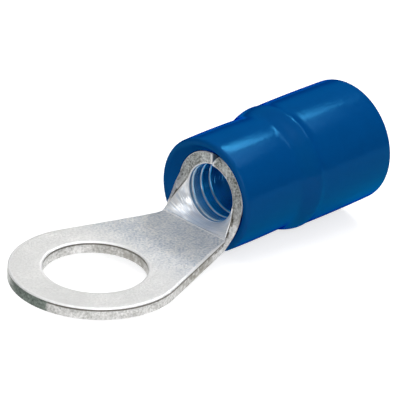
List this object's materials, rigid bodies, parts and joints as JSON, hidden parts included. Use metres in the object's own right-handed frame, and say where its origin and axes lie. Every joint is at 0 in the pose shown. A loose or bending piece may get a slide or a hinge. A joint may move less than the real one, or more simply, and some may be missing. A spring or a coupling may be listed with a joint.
{
  "type": "ring terminal",
  "caption": "Insulated crimp ring terminal: a flat ring tongue rolled into a butt-seamed barrel, inside a stepped insulating sleeve.",
  "frame": {"origin": "centre of the stud hole, on the tongue's underside", "axes": "+X along the barrel towards the wire entry, +Z out of the tongue's top face, +Y across the tongue"},
  "size_m": [0.0451, 0.0174, 0.0134],
  "materials": {
    "tinned_copper": "satin tin plating on copper",
    "insulation": "smooth semi-gloss blue, slightly translucent"
  },
  "bodies": {
    "root": {"terminal": "tinned_copper", "sleeve": "insulation"}
  },
  "joints": []
}
